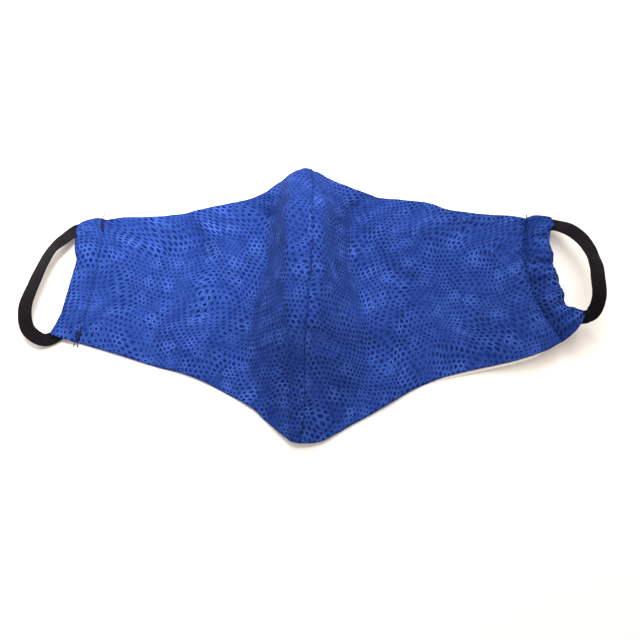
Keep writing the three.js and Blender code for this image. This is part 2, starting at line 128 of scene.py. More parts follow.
right = {
    "name": "right",
    "sign": 1,
    "span": 116.0,
    "hem": {
        "across": (0.0, 0.04, 0.08, 0.13, 0.19, 0.24, 0.33, 0.44, 0.54, 0.65, 0.8, 0.92, 1.0),
        "top": (0.987, 0.969, 0.95, 0.929, 0.907, 0.89, 0.868, 0.857, 0.848, 0.791, 0.751, 0.736, 0.727),
        "bottom": (1.0, 0.998, 0.98, 0.922, 0.848, 0.794, 0.688, 0.557, 0.478, 0.424, 0.364, 0.289, 0.2),
    },
    "stitch": {
        "up": (0.0, 0.2, 0.36, 0.58, 0.8, 1.0),
        "out": (1.098, 1.035, 1.0, 0.985, 0.99, 1.0),
        "lift": (0.7, 0.62, 0.55, 0.48, 0.35, 0.3),
    },
    "folds": (
        ((0.26, 0.93), (0.46, 0.6), 0.9, 0.9),
        ((0.24, 0.8), (0.38, 0.55), -0.7, 1.0),
        ((0.44, 0.48), (0.41, 0.2), -0.5, 0.6),
        ((0.617, 0.71), (0.59, 0.26), -0.6, 0.6),
        ((0.66, 0.66), (0.64, 0.3), 0.4, 0.6),
        ((0.06, 0.32), (0.3, 0.26), -1.0, 1.3),
    ),
    "wrinkles": (
        ((0.03, 0.33), (0.03, 0.05), -0.7, 0.7),
        ((0.03, 0.856), (0.098, 0.849), 0.45, 0.25),
        ((0.088, 0.926), (0.2, 0.85), 0.4, 0.3),
        ((0.133, 0.916), (0.368, 0.819), 0.45, 0.5),
        ((0.98, 0.75), (0.84, 0.68), 0.2, 0.3),
        ((0.98, 0.5), (0.86, 0.42), 0.25, 0.35),
        ((0.98, 0.3), (0.88, 0.22), -0.25, 0.35),
    ),
    "peek": 1.1,
    "valley": {"depth": 2.6, "reach": 2.3},
    "stitch_dip": 0.7,
    "allowance": 0.05,
    "tug": 0.3,
    "seed": 11,
}
halves = (left, right)


def smooth(share):
    """An ease in and out between 0 and 1."""
    share = np.clip(share, 0, 1)
    return share * share * (3 - 2 * share)


def unit(vectors):
    """Directions of length 1."""
    return vectors / np.linalg.norm(vectors, axis=-1, keepdims=True)


def step_lengths(points, axis):
    """The distances between neighbouring points."""
    return np.linalg.norm(np.diff(points, axis=axis), axis=-1)


def read(table, key, column, at):
    """A table's column on a smooth curve that never runs past its rows."""
    place = np.array(table[key], dtype=float)
    value = np.array(table[column], dtype=float)
    at = np.clip(at, place[0], place[-1])
    i = np.clip(np.searchsorted(place, at) - 1, 0, len(place) - 2)
    slope = np.diff(value) / np.diff(place)
    product = slope[:-1] * slope[1:]
    same_way = product > 0
    middle = np.where(same_way, 2 * product / np.where(same_way, slope[:-1] + slope[1:], 1), 0)
    tangent = np.concatenate((slope[:1], middle, slope[-1:]))
    width = place[i + 1] - place[i]
    t = (at - place[i]) / width
    eased = value[i] + (value[i + 1] - value[i]) * smooth(t)
    return eased + t * (1 - t) * width * ((1 - t) * tangent[i] - t * tangent[i + 1])


def flank_at(half, up):
    """One side of the ridge at a height up the seam: a level crest, a bend, a
    straight wall, a bend at the foot and the cheek beyond."""
    crest = ridge_reach * read(ridge, "up", "crest_" + half["name"], up)
    foot = ridge_reach * read(ridge, "up", "foot_" + half["name"], up)
    cheek = ridge_rise * read(ridge, "up", "cheek", up)
    drop = ridge_rise * read(ridge, "up", "rise", up) - cheek
    reach = foot - crest
    beyond = drop - 2 * flank_radius
    wall = np.sqrt(np.maximum(0, beyond**2 + reach**2 - 4 * flank_radius**2))
    angle = np.arctan2(beyond, reach) + np.arctan2(2 * flank_radius, wall)
    return {"crest": crest, "foot": foot, "cheek": cheek, "drop": drop, "wall": wall, "angle": angle}


def along_flank(flank, length):
    """How far out and how high the flank is at a length along it: what the
    crest, the bend, the wall, the bend at the foot and the cheek each add."""
    crest, wall, angle = flank["crest"], flank["wall"], flank["angle"]
    past_crest = length - crest
    past_bend = past_crest - flank_radius * angle
    past_wall = past_bend - wall
    turned = np.clip(past_crest / flank_radius, 0, angle)
    down = np.clip(past_bend, 0, wall)
    left_over = angle - np.clip(past_wall / flank_radius, 0, angle)
    beyond = np.maximum(past_wall - flank_radius * angle, 0)
    bends_out = np.sin(turned) + np.sin(angle) - np.sin(left_over)
    bends_down = 1 - np.cos(turned) + np.cos(left_over) - np.cos(angle)
    out = np.minimum(length, crest) + flank_radius * bends_out + down * np.cos(angle) + beyond
    level = flank["cheek"] * (1 - smooth(beyond / cheek_reach)) + flank["drop"]
    return out, level - flank_radius * bends_down - down * np.sin(angle)


def line_height(folds, half, share, up, tall):
    """What a list of folds, each along a straight line, adds at a place."""
    added = np.zeros(np.broadcast(share, up).shape)
    for (start_out, start_up), (end_out, end_up), height, width in folds:
        run_out, run_up = (end_out - start_out) * half["span"], (end_up - start_up) * tall
        off_out, off_up = (share - start_out) * half["span"], (up - start_up) * tall
        part = (off_out * run_out + off_up * run_up) / (run_out**2 + run_up**2)
        part = np.clip(part, 0, 1)
        away = np.hypot(off_out - part * run_out, off_up - part * run_up)
        added += fold_height * height * np.exp(-2 * (away / (fold_width * width)) ** 2)
    return added


def row_length(half, up):
    """The cloth's length from the seam to the stitch line."""
    flank = flank_at(half, up)
    stitch_out = half["span"] * read(half["stitch"], "up", "out", up)
    bends = 2 * flank_radius * flank["angle"]
    return flank["crest"] + bends + flank["wall"] + stitch_out - flank["foot"]


def cloth_point(half, across, up):
    """A point on the outer cloth's face. across runs along the cloth from the
    seam to the stitch line, and up from the chin hem to the nose hem."""
    across, up = np.broadcast_arrays(np.asarray(across, float), np.asarray(up, float))
    flank = flank_at(half, up)
    out, high = along_flank(flank, row_length(half, up) * across)
    share = out / (half["span"] * read(half["stitch"], "up", "out", up))
    top = nose_up * read(half["hem"], "across", "top", share)
    bottom = -chin_down * read(half["hem"], "across", "bottom", share)
    lift = corner_lift * read(half["stitch"], "up", "lift", up) * smooth((share - 0.6) / 0.4)
    folded = line_height(half["folds"], half, share, up, top - bottom) * smooth(share / 0.08)
    sway = seam_sway * read(ridge, "up", "sway", up) * (1 - share)
    return np.stack(
        (
            sway + half["sign"] * out,
            bottom + (top - bottom) * up,
            stack + np.maximum(0, high + folded) + lift,
        ),
        axis=-1,
    )


def ripples(seed, wavelength, across, along):
    """Soft random waves of about one wavelength, between about -1 and 1."""
    draw = np.random.RandomState(seed)
    waves = 9
    total = np.zeros(np.broadcast(across, along).shape)
    for _ in range(waves):
        angle, phase = draw.uniform(0, 2 * math.pi, 2)
        pitch = wavelength * draw.uniform(0.7, 1.5)
        run = across * math.cos(angle) + along * math.sin(angle)
        total += np.sin(2 * math.pi * run / pitch + phase)
    return total / math.sqrt(waves)


def stations(length, edge_step, step, edge):
    """Shares along a length that are close together at both ends."""
    near = np.linspace(0, edge, max(2, round(edge / edge_step)) + 1)
    far = np.linspace(edge, length - edge, round((length - 2 * edge) / step) + 1)
    return np.concatenate((near[:-1], far, length - near[-2::-1])) / length


seam_dip = 0.95  # of the groove where the two halves meet
seam_dip_reach = 0.6
seam_pucker = 0.3
seam_pucker_reach = 5.0
seam_pucker_pitch = 6.5
allowance_width = 7.0  # of the seam allowance that lies pressed inside
stitch_dip_reach = 0.9
slack_height = 0.35  # of the soft waves all over the cloth
slack_pitch = 34.0
slack_from_seam = 14.0
slack_from_stitch = 10.0
fine_slack = 0.3  # of the height of these waves, in waves a third as long
tug_pitch = 5.5  # of the small waves that the stitch line's thread pulls up
tug_reach = 6.0
tug_held = 0.6  # of them, that the stitches hold down again
tug_held_reach = 1.5
valley_shallow = 0.75  # of its depth, that the valley loses
valley_shallow_from = 0.86  # up the stitch line
hem_radius = 0.55
hem_pucker = 0.12
hem_pucker_pitch = 9.0
hem_pucker_reach = 3.0


def valley(half, up, from_stitch):
    """How far the cloth on both sides sinks towards the stitch line."""
    near_top = smooth((up - valley_shallow_from) / (1 - valley_shallow_from))
    depth = half["valley"]["depth"] * (1 - valley_shallow * near_top)
    return depth * np.exp(-((from_stitch / half["valley"]["reach"]) ** 2))


def soft_relief(half, up, out, along):
    """The small soft shapes of the sewn cloth, in millimetres off its face. out
    is the length from the seam, and along the length up from the datum."""
    from_stitch = out[:, -1:] - out
    seed = half["seed"]
    loose = smooth(out / slack_from_seam) * smooth(from_stitch / slack_from_stitch)
    high = slack_height * loose * ripples(seed, slack_pitch, out, along)
    high += fine_slack * slack_height * loose * ripples(seed + 1, slack_pitch / 3, out, along)
    pucker = ripples(seed + 2, seam_pucker_pitch, 0.15 * out, along)
    high += seam_pucker * np.exp(-out / seam_pucker_reach) * pucker * smooth(out / 0.8)
    high += half["allowance"] * smooth((allowance_width - out) / 2.5)
    tug = ripples(seed + 3, tug_pitch, 0.1 * out, along)
    held_down = tug_held * np.exp(-((from_stitch / tug_held_reach) ** 2))
    high += half["tug"] * tug * (np.exp(-from_stitch / tug_reach) - held_down)
    length = row_length(half, 0.5)
    high += line_height(half["wrinkles"], half, out / length, up, along[-1] - along[0]) / fold_height
    hem_wave = ripples(seed + 4, hem_pucker_pitch, out, 0 * along)
    high += hem_pucker * hem_wave * np.exp(-from_hems(along) / hem_pucker_reach)
    return high - valley(half, up, from_stitch)


def from_hems(along):
    """How far each place of a grid is from the nearer hem."""
    return np.minimum(along - along[0], along[-1] - along)


def grooves(half, up, out):
    """How far the sewn lines draw the face in: the seam and the stitch line."""
    from_stitch = out[:, -1:] - out
    seam = seam_dip * np.exp(-((out / seam_dip_reach) ** 2)) * smooth((0.995 - up) / 0.03)
    return seam + half["stitch_dip"] * np.exp(-((from_stitch / stitch_dip_reach) ** 2))


hem_fullness = 0.9  # the turned cloth bulges past the upper hem's fold
panel_step = 0.8
edge_step = 0.28
edge_band = 1.4


def panel_grid(half, step, set_back=0.0):
    """The places of a panel's grid across and up it, its points on the cloth's
    face and its flat pattern. set_back keeps it short of both hems."""
    middle_length = float(row_length(half, 0.5))
    across = stations(middle_length, edge_step, step, edge_band)[None, :]
    sampled = cloth_point(half, across, np.linspace(0, 1, 60)[:, None])
    tall = step_lengths(sampled, 0).sum(axis=0)
    seam_tall = tall.max()
    rows = stations(seam_tall, edge_step, step, edge_band)[:, None] * seam_tall
    # Rows near a hem keep their distance from it, and those between share the rest.
    inner = (rows - edge_band) / (seam_tall - 2 * edge_band)
    from_chin = set_back + rows
    from_nose = tall - set_back - (seam_tall - rows)
    between = set_back + edge_band + inner * (tall - 2 * (set_back + edge_band))
    height = np.where(inner < 0, from_chin, np.where(inner > 1, from_nose, between))
    up = np.clip(height / tall, 0, 1)
    across = np.broadcast_to(across, up.shape)
    points = cloth_point(half, across, up)
    points[..., 1] += hem_fullness * smooth((up - 0.85) / 0.15) * smooth((1 - across) / 0.09)
    out = np.zeros(up.shape)
    out[:, 1:] = np.cumsum(step_lengths(points, 1), axis=1)
    along = np.zeros(up.shape)
    along[1:] = np.cumsum(step_lengths(points, 0), axis=0)
    along -= along[len(along) // 2]
    return across, up, points, out, along


def round_edge(from_edge, radius):
    """How far a face drops as it rounds an edge."""
    inside = np.clip(1 - from_edge / radius, 0, 1)
    return radius * (1 - np.sqrt(1 - inside**2))


def mesh_object(name, points, edges, faces):
    """A mesh object from points in the seam's millimetres."""
    mesh = bpy.data.meshes.new(name)
    mesh.from_pydata(((points + seam_place) * mm).tolist(), edges, faces)
    made = bpy.data.objects.new(name, mesh)
    link(made)
    return made


def add_object(name, points, faces, pattern):
    """A closed mesh object of four-sided faces, which it turns outwards, with
    its flat pattern in metres as a UV map."""
    a, b, c, d = (points[faces[:, corner]] for corner in range(4))
    volume = (a * (np.cross(b, c) + np.cross(c, d))).sum()
    if volume < 0:
        faces = faces[:, ::-1]
    made = mesh_object(name, points, [], faces.tolist())
    layer = made.data.uv_layers.new(name="pattern")
    layer.data.foreach_set("uv", (pattern * mm)[faces.ravel()].ravel())
    made.data.shade_smooth()
    return made


def shell(name, top, bottom, pattern):
    """A closed sheet between two grids of points with the same flat pattern."""
    rows, columns = top.shape[:2]
    index = np.arange(rows * columns).reshape(rows, columns)
    cell = (index[:-1, :-1], index[:-1, 1:], index[1:, 1:], index[1:, :-1])
    face = np.stack(cell, axis=-1).reshape(-1, 4)
    rim = np.concatenate((index[0, :-1], index[:-1, -1], index[-1, :0:-1], index[:0:-1, 0]))
    ahead = np.roll(rim, -1)
    under = rows * columns
    side = np.stack((rim + under, ahead + under, ahead, rim), axis=-1)
    faces = np.concatenate((face, face[:, ::-1] + under, side))
    points = np.concatenate((top.reshape(-1, 3), bottom.reshape(-1, 3)))
    return add_object(name, points, faces, np.tile(pattern.reshape(-1, 2), (2, 1)))


def peek_share(half, across):
    """How much of its full peek the lining has along the lower hem."""
    (start, eased_in), (end, eased_out) = (0.45, 0.12), (0.93, 0.03)
    shows = smooth((across - start) / eased_in) * smooth((end - across) / eased_out)
    return shows * (half["peek"] > 0)


def shared_normals(half, face):
    """The outward directions of a grid of rows up and columns across, level
    where two pieces meet so that they agree."""
    normal = unit(half["sign"] * np.cross(np.gradient(face, axis=1), np.gradient(face, axis=0)))
    normal[:, 0, 0] = 0
    normal[:, -1] = (0, 0, 1)
    return unit(normal)


def keep_above(face, height):
    """Lifts the points of a face that lie lower than a height above the table."""
    face[..., 2] = np.maximum(face[..., 2], height)


table_clearance = 0.02
least_lip = 0.04  # that a rounded edge keeps on each side
hem_turn = 2.2  # how far the hem is turned in
hem_turn_ease = 0.8
hem_spare = 0.05  # by which it stays thinner than both layers
groove_fade = 1.5  # over which the sewn lines sink in, from a hem
print_shift = 4.0  # of the print from the seam, where the allowance is turned in
least_wall = 0.08  # of cloth that is pressed onto the table
seam_press = 0.12  # by which the two edges press into each other along the seam
cloth_pieces = {}
for half in halves:
    name = "outer_panel_" + half["name"]
    across, up, face, out, along = panel_grid(half, panel_step)
    normal = shared_normals(half, face)
    dressed = face + soft_relief(half, up, out, along)[..., None] * normal
    from_hem = from_hems(along)
    peeking = peek_share(half, across) * (up < 0.5)
    # Where the lining doesn't show, the turned-in hem is as thick as both layers.
    turned_in = smooth((hem_turn - from_hem) / hem_turn_ease) * (1 - peeking)
    wall = cloth_wall + (stack - cloth_wall - hem_spare) * turned_in
    radius = np.minimum(wall / 2 - least_lip, hem_radius + 0.5 * turned_in)
    rounded = round_edge(from_hem, radius)
    sewn = grooves(half, up, out) * smooth(from_hem / groove_fade)
    top = dressed - (rounded + sewn)[..., None] * normal
    bottom = dressed - (wall - rounded)[..., None] * normal
    keep_above(bottom, table_clearance)
    keep_above(top, table_clearance + least_wall)
    for skin in (top, bottom):
        skin[:, 0, 0] -= half["sign"] * seam_press
    pattern = np.stack((half["sign"] * (out + print_shift), along), axis=-1)
    cloth_pieces[name] = shell("printed_panel_" + half["name"], top, bottom, pattern)


# The cloth's finish: a cotton print of small dots in honeycomb cells, in plates
# that each lie their own way, on a mottled blue ground, over a plain weave.
def new_group(name, inputs, outputs, kind="ShaderNodeTree"):
    """An empty node group with named inputs and outputs."""
    tree = bpy.data.node_groups.new(name, kind)
    for way, sockets in (("INPUT", inputs), ("OUTPUT", outputs)):
        for label, value in sockets.items():
            tree.interface.new_socket(label, in_out=way, socket_type="NodeSocket" + value)
    return tree, tree.nodes.new("NodeGroupInput").outputs, tree.nodes.new("NodeGroupOutput").inputs


def place(tree, kind, inputs, **settings):
    """A node with its settings made, and its inputs linked or set."""
    node = tree.nodes.new(kind)
    for key, value in settings.items():
        setattr(node, key, value)
    for key, value in inputs.items():
        if isinstance(value, bpy.types.NodeSocket):
            tree.links.new(value, node.inputs[key])
        else:
            node.inputs[key].default_value = value
    return node


def result(tree, kind, inputs, **settings):
    """A new node's first output."""
    return place(tree, kind, inputs, **settings).outputs[0]


def calc(tree, operation, *values):
    """A Math node's result."""
    return result(tree, "ShaderNodeMath", dict(enumerate(values)), operation=operation)


def times(tree, first, second):
    """A product."""
    return calc(tree, "MULTIPLY", first, second)


def plus(tree, first, second):
    """A sum."""
    return calc(tree, "ADD", first, second)


def vector_calc(tree, operation, *values):
    """A Vector Math node's result."""
    node = place(tree, "ShaderNodeVectorMath", dict(enumerate(values)), operation=operation)
    return node.outputs["Value" if operation == "LENGTH" else "Vector"]


def scaled(tree, vector, factor):
    """A vector times a number."""
    return result(tree, "ShaderNodeVectorMath", {0: vector, "Scale": factor}, operation="SCALE")


def parts_of(tree, vector):
    """A vector's X, Y and Z."""
    return place(tree, "ShaderNodeSeparateXYZ", {0: vector}).outputs


def between(tree, value, low, high, to_low=0.0, to_high=1.0):
    """A value eased from one range to another."""
    inputs = dict(enumerate((value, low, high, to_low, to_high)))
    return result(tree, "ShaderNodeMapRange", inputs, interpolation_type="SMOOTHSTEP")


def blended(tree, share, first, second):
    """Two colours mixed by a share."""
    return place(tree, "ShaderNodeMix", {0: share, 6: first, 7: second}, data_type="RGBA").outputs[2]


def paint(tree, shader, share, first, second):
    """Feeds two colours, mixed by a share, to the shader."""
    tree.links.new(blended(tree, share, first, second), shader.inputs["Base Color"])


def cloud(tree, vector, pitch, detail=2.0, output="Fac"):
    """Soft noise of about one pitch."""
    inputs = {"Vector": vector, "Scale": 1 / pitch, "Detail": detail}
    return place(tree, "ShaderNodeTexNoise", inputs).outputs[output]


def line_at(tree, distance, middle, half_width, blur):
    """1 along a line at a distance, and 0 beyond its half width."""
    away = calc(tree, "ABSOLUTE", calc(tree, "SUBTRACT", distance, middle))
    return between(tree, away, half_width, half_width + blur, 1.0, 0.0)


def honeycomb_print():
    """Masks of the print over a pattern in metres: the cells' pale outlines,
    their dark dots, how clear the print is, and the tone of its ground."""
    inputs = {"Pattern": "Vector", "Cell": "Float", "Cluster": "Float"}
    outputs = {"Outline": "Float", "Dot": "Float", "Clear": "Float", "Tone": "Float"}
    tree, given, out = new_group("honeycomb print", inputs, outputs)
    flat = scaled(tree, given["Pattern"], 1000.0)
    # The honeycomb is drawn out and squeezed from place to place.
    drifted = flat
    for wave, reach in ((34.0, 17.0), (11.0, 3.4), (2.8, 0.45)):
        wander = vector_calc(tree, "SUBTRACT", cloud(tree, flat, wave, 1, "Color"), (0.5, 0.5, 0.5))
        drifted = vector_calc(tree, "ADD", drifted, scaled(tree, wander, reach))
    lattice = scaled(tree, drifted, calc(tree, "DIVIDE", 1.0, given["Cell"]))
    # Two rectangular lattices, half a step apart, make the honeycomb's centres.
    repeat = (1.0, math.sqrt(3), 0.0)
    halfway = (0.5, math.sqrt(3) / 2, 0.0)
    shares = vector_calc(tree, "DIVIDE", lattice, repeat)
    near = []
    for shift in ((0.0, 0.0, 0.0), (0.5, 0.5, 0.0)):
        part = vector_calc(tree, "FRACTION", vector_calc(tree, "ADD", shares, shift))
        part = vector_calc(tree, "MULTIPLY", part, repeat)
        near.append(vector_calc(tree, "SUBTRACT", part, halfway))
    lengths = [vector_calc(tree, "LENGTH", offset) for offset in near]
    closer = calc(tree, "LESS_THAN", *lengths)
    pair = {0: closer, 4: near[1], 5: near[0]}
    offset = place(tree, "ShaderNodeMix", pair, data_type="VECTOR").outputs[1]
    from_centre = calc(tree, "MINIMUM", *lengths)
    sides = parts_of(tree, vector_calc(tree, "ABSOLUTE", offset))
    leaning = plus(tree, times(tree, sides["X"], 0.5), times(tree, sides["Y"], math.sqrt(3) / 2))
    from_side = calc(tree, "SUBTRACT", 0.5, calc(tree, "MAXIMUM", sides["X"], leaning))
    # Each cell has its own chance, read on a grid so coarse that it all agrees.
    centre = vector_calc(tree, "SUBTRACT", lattice, offset)
    moved = vector_calc(tree, "ADD", centre, (0.05, 0.05, 0))
    snapped = vector_calc(tree, "SNAP", moved, (0.1, 0.1, 1.0))
    pick = result(tree, "ShaderNodeTexWhiteNoise", {"Vector": snapped})
    # Clusters of a few cells are outlined strongly, and those around them weakly.
    density = calc(tree, "DIVIDE", 1.0, given["Cluster"])
    inputs = {"Vector": centre, "Scale": density, "Randomness": 0.7}
    cluster = place(tree, "ShaderNodeTexVoronoi", inputs, voronoi_dimensions="2D").outputs
    own = place(tree, "ShaderNodeSeparateColor", {"Color": cluster["Color"]}).outputs
    from_heart = times(tree, cluster["Distance"], given["Cluster"])
    held = between(tree, from_heart, 1.15, 1.5, 1.0, 0.25)
    strength = times(tree, between(tree, own["Red"], 0, 1, 0.35, 1.0), held)
    strength = plus(tree, strength, between(tree, pick, 0, 1, 0.0, 0.3))
    net = between(tree, from_side, 0.05, 0.17, 1.0, 0.0)
    ring = line_at(tree, from_centre, 0.35, 0.06, 0.09)
    ringed = calc(tree, "GREATER_THAN", plus(tree, pick, own["Green"]), 1.1)
    drawn = result(tree, "ShaderNodeMix", {0: ringed, 2: net, 3: ring})
    tree.links.new(times(tree, drawn, strength), out["Outline"])
    reach = between(tree, pick, 0, 1, 0.2, 0.28)
    edge_in, edge_out = calc(tree, "SUBTRACT", reach, 0.07), plus(tree, reach, 0.07)
    tree.links.new(between(tree, from_centre, edge_in, edge_out, 1.0, 0.0), out["Dot"])
    tree.links.new(between(tree, cloud(tree, flat, 16, 2), 0.34, 0.56), out["Clear"])
    wide = between(tree, cloud(tree, flat, 30, 3), 0.3, 0.7)
    narrow = between(tree, cloud(tree, vector_calc(tree, "ADD", flat, (90, 40, 0)), 8, 3), 0.3, 0.7)
    tone = plus(tree, times(tree, wide, 0.5), times(tree, narrow, 0.5))
    tree.links.new(tone, out["Tone"])
    return tree


def plain_weave():
    """The height of a plain weave over a pattern in metres, and a slow change
    of thickness of its threads."""
    inputs, outputs = {"Pattern": "Vector", "Pitch": "Float"}, {"Height": "Float", "Slub": "Float"}
    tree, given, out = new_group("plain weave", inputs, outputs)
    flat = scaled(tree, given["Pattern"], 1000.0)
    threads = scaled(tree, flat, calc(tree, "DIVIDE", math.pi, given["Pitch"]))
    waves = [calc(tree, "SINE", parts_of(tree, threads)[axis]) for axis in "XY"]
    over = times(tree, *waves)
    crown = calc(tree, "MAXIMUM", *(calc(tree, "ABSOLUTE", wave) for wave in waves))
    stretched = vector_calc(tree, "MULTIPLY", flat, (1.0, 0.12, 0.0))
    crossed = vector_calc(tree, "MULTIPLY", flat, (0.12, 1.0, 0.0))
    slub = plus(tree, cloud(tree, stretched, 0.7, 1), cloud(tree, crossed, 0.7, 1))
    slub = between(tree, slub, 0.75, 1.25)
    height = plus(tree, times(tree, over, 0.5), times(tree, crown, 0.4))
    tree.links.new(plus(tree, height, times(tree, slub, 0.5)), out["Height"])
    tree.links.new(slub, out["Slub"])
    return tree


def new_material(name, roughness, specular):
    """A material, its nodes and its shader, with the shader's constants set."""
    material = bpy.data.materials.new(name)
    material.use_nodes = True
    shader = material.node_tree.nodes["Principled BSDF"]
    shader.inputs["Roughness"].default_value = roughness
    shader.inputs["Specular IOR Level"].default_value = specular
    return material, material.node_tree, shader


def new_cloth(name, roughness, sheen, sheen_tint):
    """A cloth's material, and the flat pattern that it is drawn on."""
    material, tree, shader = new_material(name, roughness, 0.03)
    shader.inputs["Sheen Weight"].default_value = sheen
    shader.inputs["Sheen Roughness"].default_value = 0.45
    shader.inputs["Sheen Tint"].default_value = sheen_tint
    return material, tree, shader, result(tree, "ShaderNodeUVMap", {}, uv_map="pattern")


def add_bump(tree, shader, height, distance, strength):
    """Feeds a height to the shader's normal."""
    inputs = {"Height": height, "Distance": distance, "Strength": strength}
    tree.links.new(result(tree, "ShaderNodeBump", inputs), shader.inputs["Normal"])


def group_node(tree, group, inputs):
    """The outputs of a group placed in a material."""
    return place(tree, "ShaderNodeGroup", inputs, node_tree=group).outputs


def set_up(piece, material, node=None):
    """Gives a piece its material and attaches it to the root body, and hides the
    model's part for the node that it stands for, if one is given."""
    piece.data.materials.append(material)
    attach(piece, "root")
    if node:
        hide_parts(node)


weave_group = plain_weave()
print_group = honeycomb_print()
cell_pitch = 2.6
cluster_pitch = 4.2  # in cells
thread_pitch = 0.36
ground_dark = (0.0046, 0.0175, 0.115, 1)
ground_pale = (0.0125, 0.036, 0.196, 1)
outline_pale = (0.036, 0.087, 0.36, 1)
dot_dark = (0.0022, 0.0085, 0.064, 1)
slub_pale = (0.04, 0.08, 0.3, 1)

printed_cotton, tree, shader, pattern = new_cloth("printed cotton", 0.95, 0.015, (0.45, 0.6, 1.0, 1))
masks = group_node(tree, print_group, {"Pattern": pattern, "Cell": cell_pitch, "Cluster": cluster_pitch})
weave = group_node(tree, weave_group, {"Pattern": pattern, "Pitch": thread_pitch})
ground = blended(tree, masks["Tone"], ground_dark, ground_pale)
strength = between(tree, masks["Clear"], 0, 1, 0.5, 1.0)
outlined = blended(tree, times(tree, masks["Outline"], strength), ground, outline_pale)
printed = blended(tree, times(tree, masks["Dot"], strength), outlined, dot_dark)
paint(tree, shader, between(tree, weave["Slub"], 0, 1, 0.0, 0.1), printed, slub_pale)
add_bump(tree, shader, weave["Height"], 0.00008, 0.6)

for half in halves:
    name = "outer_panel_" + half["name"]
    set_up(cloth_pieces[name], printed_cotton, name)

# Linings
# Plain white cotton of the same cut lies inside each panel. It is sewn into
# the hems and the seam, and its edge shows along the right half's lower hem.
lining_step = 1.3
lining_set_back = 1.7  # behind the turned-in hem
lining_inner_dip = 0.6  # of the seam, seen from inside
peek_reach = 14.0  # up from the chin hem, over which the lining is drawn down
lining_white = (0.80, 0.785, 0.755, 1)
lining_shade = (0.70, 0.685, 0.655, 1)

lining_cotton, tree, shader, pattern = new_cloth("lining cotton", 0.92, 0.1, (1, 1, 1, 1))
weave = group_node(tree, weave_group, {"Pattern": pattern, "Pitch": 0.42})
flat = scaled(tree, pattern, 1000.0)
uneven = between(tree, cloud(tree, flat, 26, 3), 0.35, 0.7)
thready = calc(tree, "MAXIMUM", times(tree, weave["Slub"], 0.5), uneven)
paint(tree, shader, thready, lining_white, lining_shade)
add_bump(tree, shader, weave["Height"], 0.00009, 0.7)

for half in halves:
    name = "lining_" + half["name"]
    # It stays behind both hems, apart from where it peeks out of the lower one.
    across, up, face, out, along = panel_grid(half, lining_step, lining_set_back)
    normal = shared_normals(half, face)
    near_chin = smooth(1 - (along - along[0]) / peek_reach)
    moved = face + soft_relief(half, up, out, along)[..., None] * normal
    moved[..., 1] -= (lining_set_back + half["peek"]) * peek_share(half, across) * near_chin
    from_hem = from_hems(along)
    rounded = round_edge(from_hem, lining_wall / 2 - least_lip)
    outer_depth = cloth_wall + cloth_gap / 2 + rounded
    seam = lining_inner_dip * np.exp(-((out / seam_dip_reach) ** 2))
    inner_depth = stack - cloth_gap / 2 - rounded - seam
    top = moved - outer_depth[..., None] * normal
    bottom = moved - inner_depth[..., None] * normal
    keep_above(bottom, table_clearance)
    keep_above(top, 3 * table_clearance)
    pattern = np.stack((half["sign"] * out, along), axis=-1)
    cloth_pieces[name] = shell("white_lining_" + half["name"], top, bottom, pattern)
    set_up(cloth_pieces[name], lining_cotton, name)

# Casings
# At each side the printed cotton is folded to the back and stitched down, which
# makes a flat tube for the elastic. The right one is drawn up in gathers.
elastic_width = 6.2
elastic_thickness = 1.0
relaxed_width = 6.7  # of the band, which stretches narrower in use
channel_ease = 0.6
channel_rise = 1.1
mouth_ease = 1.5
casing_snug = elastic_width + 2 * (channel_ease + cloth_wall)
casing_loft = elastic_thickness + 2 * (channel_rise + cloth_wall)
band_inset = channel_ease + elastic_width / 2
gather_depth = 0.8
gather_puff = 1.1
casing_wall = 0.85

left["casing"] = {
    "along": (0.0, 0.04, 0.08, 0.14, 0.23, 0.45, 0.55, 0.65, 0.71, 0.81, 0.91, 0.95, 1.0),
    "out": (1.66, 1.62, 1.5, 1.37, 1.25, 1.24, 1.2, 1.13, 1.3, 1.4, 1.5, 1.45, 1.4),
    "slide": (0.25, 0.17, 0.1, 0.03, 0.0, 0.0, 0.0, 0.0, 0.0, 0.0, -0.15, -0.3, -0.5),
}
right["casing"] = {
    "along": (0.0, 0.08, 0.1, 0.145, 0.19, 0.27, 0.42, 0.5, 0.63, 0.73, 0.885, 0.91, 0.94, 1.0),
    "out": (1.66, 1.64, 1.54, 1.3, 1.06, 1.2, 1.3, 1.18, 1.2, 1.12, 1.15, 1.27, 1.38, 1.42),
    "slide": (0.57, 0.25, 0.18, 0.08, 0.03, 0.0, 0.0, 0.0, 0.0, 0.0, 0.0, 0.0, 0.0, 0.0),
}
left["gathers"] = {"count": 2, "share": 0.35, "ruck": 0.16, "pitch": 9.0, "loft": 0.78}
right["gathers"] = {"count": 5, "share": 1.0, "ruck": 0.5, "pitch": 6.0, "loft": 1.0}
# Where the elastic leaves the lower and the upper mouth: how far it has turned
# outwards there, and how far from the lip.
left["exits"] = ({"end": 0, "turn": 62, "inset": -0.75}, {"end": 1, "turn": 106, "inset": 0.62})
right["exits"] = ({"end": 0, "turn": 74, "inset": -0.38}, {"end": 1, "turn": 100, "inset": 0.9})

# The section, walked from the stitch line over the front, round the fold and
# back. front is 1 on the side that shows.
casing_section = np.array(
    [
        # out, high and front
        [0.0, -0.03, -0.02, 0.05, 0.18, 0.36, 0.58, 0.76, 0.88, 0.96, 1.0, 0.95, 0.86, 0.7, 0.35],
        [0.06, 0.26, 0.46, 0.7, 0.91, 0.99, 1.0, 0.96, 0.85, 0.68, 0.45, 0.18, 0.04, 0.0, 0.0],
        [0, 1, 1, 1, 1, 1, 1, 1, 1, 0.2, 0, 0, 0, 0, 0],
    ]
).T


